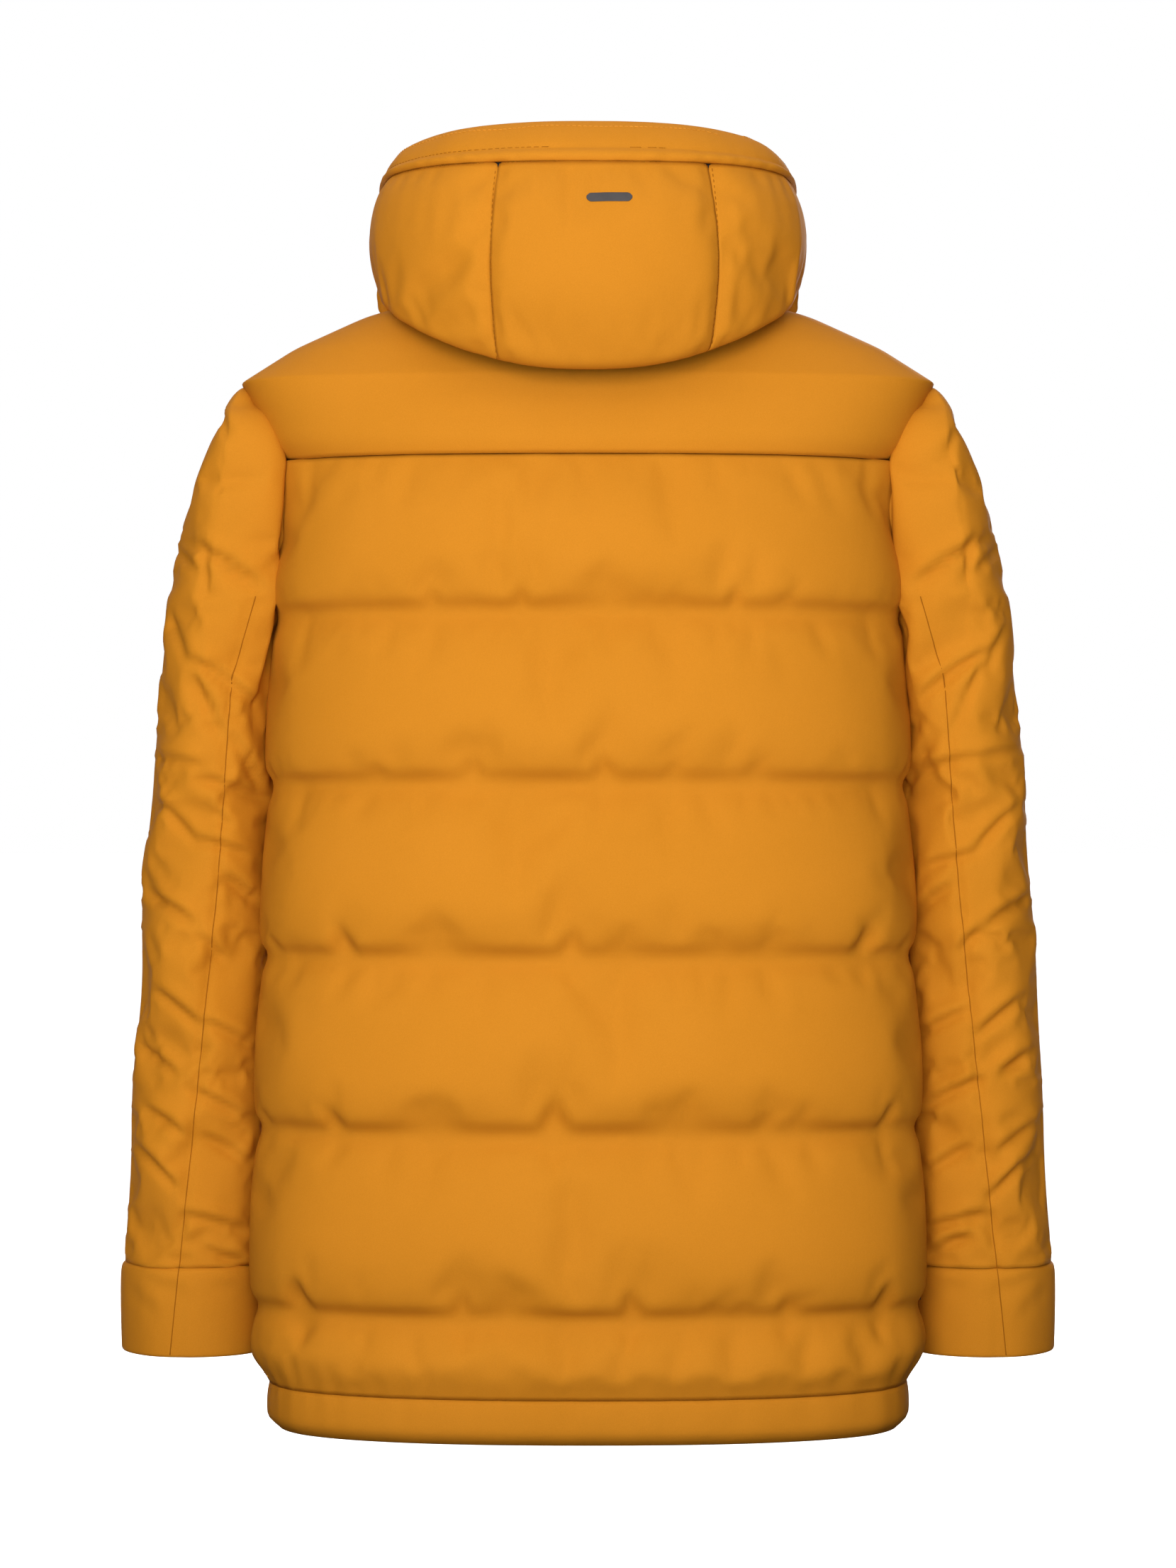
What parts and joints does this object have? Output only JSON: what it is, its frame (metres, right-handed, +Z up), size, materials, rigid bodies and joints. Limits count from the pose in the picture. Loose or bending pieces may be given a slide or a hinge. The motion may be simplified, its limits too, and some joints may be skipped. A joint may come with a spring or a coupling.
{
  "type": "hooded quilted jacket",
  "caption": "Padded hip-length jacket with a lowered three-panel hood, quilted body and sleeves, front zip and zipped hand pockets.",
  "frame": {"origin": "inside top of the hanger loop at the back of the neck", "axes": "+Z up, the front faces -Y, +X is the wearer's left"},
  "size_m": [0.6556, 0.2993, 0.8782],
  "materials": {
    "shell_fabric": "matt tightly woven mustard yellow polyester",
    "lining": "smooth dark grey lining taffeta",
    "wadding": "white polyester wadding",
    "elastic": "black knitted elastic",
    "rib_knit": "dark ribbed knit",
    "zip_tape": "woven zip tape, shade darker than the shell",
    "zip_chain": "dark nylon coil",
    "dark_metal": "gunmetal finish",
    "grey_mark": "flat grey print",
    "loop_cord": "dark braided cord"
  },
  "bodies": {
    "torso": {"back_panel_shell": "shell_fabric", "front_left_shell": "shell_fabric", "front_right_shell": "shell_fabric", "yoke_shell": "shell_fabric", "back_fill": "wadding", "front_left_fill": "wadding", "front_right_fill": "wadding", "yoke_fill": "wadding", "back_lining": "lining", "front_left_lining": "lining", "front_right_lining": "lining", "yoke_lining": "lining", "hem_band": "shell_fabric", "hem_elastic": "elastic", "collar_shell": "shell_fabric", "collar_fill": "wadding", "collar_lining": "lining", "hanger_loop": "loop_cord", "side_rivet": "dark_metal", "front_zip_chain": "zip_chain", "front_zip_tape_left": "zip_tape", "front_zip_tape_right": "zip_tape", "front_zip_end_stops": "dark_metal", "left_pocket_zip_chain": "zip_chain", "left_pocket_zip_tape": "zip_tape", "left_pocket_bag": "lining", "right_pocket_zip_chain": "zip_chain", "right_pocket_zip_tape": "zip_tape", "right_pocket_bag": "lining"},
    "left_upper_sleeve": {"left_upper_sleeve_shell": "shell_fabric", "left_upper_sleeve_fill": "wadding", "left_upper_sleeve_lining": "lining"},
    "left_lower_sleeve": {"left_lower_sleeve_shell": "shell_fabric", "left_lower_sleeve_fill": "wadding", "left_lower_sleeve_lining": "lining", "left_cuff": "shell_fabric", "left_rib_cuff": "rib_knit"},
    "right_upper_sleeve": {"right_upper_sleeve_shell": "shell_fabric", "right_upper_sleeve_fill": "wadding", "right_upper_sleeve_lining": "lining"},
    "right_lower_sleeve": {"right_lower_sleeve_shell": "shell_fabric", "right_lower_sleeve_fill": "wadding", "right_lower_sleeve_lining": "lining", "right_cuff": "shell_fabric", "right_rib_cuff": "rib_knit"},
    "hood": {"hood_centre_panel": "shell_fabric", "hood_left_panel": "shell_fabric", "hood_right_panel": "shell_fabric", "hood_brim": "shell_fabric", "hood_fill": "wadding", "hood_lining": "lining", "hood_elastic": "elastic", "hood_mark": "grey_mark", "hood_eyelets": "dark_metal"},
    "front_slider": {"front_zip_slider": "dark_metal"},
    "front_pull": {"front_zip_pull": "dark_metal"},
    "left_pocket_slider": {"left_pocket_zip_slider": "dark_metal"},
    "left_pocket_pull": {"left_pocket_zip_pull": "dark_metal"},
    "right_pocket_slider": {"right_pocket_zip_slider": "dark_metal"},
    "right_pocket_pull": {"right_pocket_zip_pull": "dark_metal"}
  },
  "joints": [
    {"name": "left_shoulder", "type": "hinge", "parent": "torso", "child": "left_upper_sleeve", "pos_m": [0.236, -0.0495, -0.0824], "axis": [0, -1, 0], "range_deg": [0, 60]},
    {"name": "left_elbow", "type": "hinge", "parent": "left_upper_sleeve", "child": "left_lower_sleeve", "pos_m": [0.267, -0.0945, -0.4114], "axis": [-1, 0, 0], "range_deg": [0, 45]},
    {"name": "right_shoulder", "type": "hinge", "parent": "torso", "child": "right_upper_sleeve", "pos_m": [-0.236, -0.0495, -0.0824], "axis": [0, 1, 0], "range_deg": [0, 60]},
    {"name": "right_elbow", "type": "hinge", "parent": "right_upper_sleeve", "child": "right_lower_sleeve", "pos_m": [-0.267, -0.0945, -0.4114], "axis": [-1, 0, 0], "range_deg": [0, 45]},
    {"name": "hood_tilt", "type": "hinge", "parent": "torso", "child": "hood", "pos_m": [0, -0.1145, 0.0136], "axis": [1, 0, 0], "range_deg": [0, 70]},
    {"name": "front_zip_slide", "type": "slide", "parent": "torso", "child": "front_slider", "axis": [0, 0.0505, 0.9987], "range_m": [-0.79, 0]},
    {"name": "front_pull_swing", "type": "hinge", "parent": "front_slider", "child": "front_pull", "pos_m": [0, -0.15805, 0.03584], "axis": [-1, 0, 0], "range_deg": [0, 150]},
    {"name": "left_pocket_slide", "type": "slide", "parent": "torso", "child": "left_pocket_slider", "axis": [0, 0.0492, 0.9988], "range_m": [-0.1332, 0]},
    {"name": "left_pocket_pull_swing", "type": "hinge", "parent": "left_pocket_slider", "child": "left_pocket_pull", "pos_m": [0.15201, -0.15923, -0.54119], "axis": [-0.8898, -0.4557, 0.0225], "range_deg": [0, 150]},
    {"name": "right_pocket_slide", "type": "slide", "parent": "torso", "child": "right_pocket_slider", "axis": [0, 0.0492, 0.9988], "range_m": [-0.1332, 0]},
    {"name": "right_pocket_pull_swing", "type": "hinge", "parent": "right_pocket_slider", "child": "right_pocket_pull", "pos_m": [-0.15201, -0.15923, -0.54119], "axis": [-0.8898, 0.4557, -0.0225], "range_deg": [0, 150]}
  ]
}
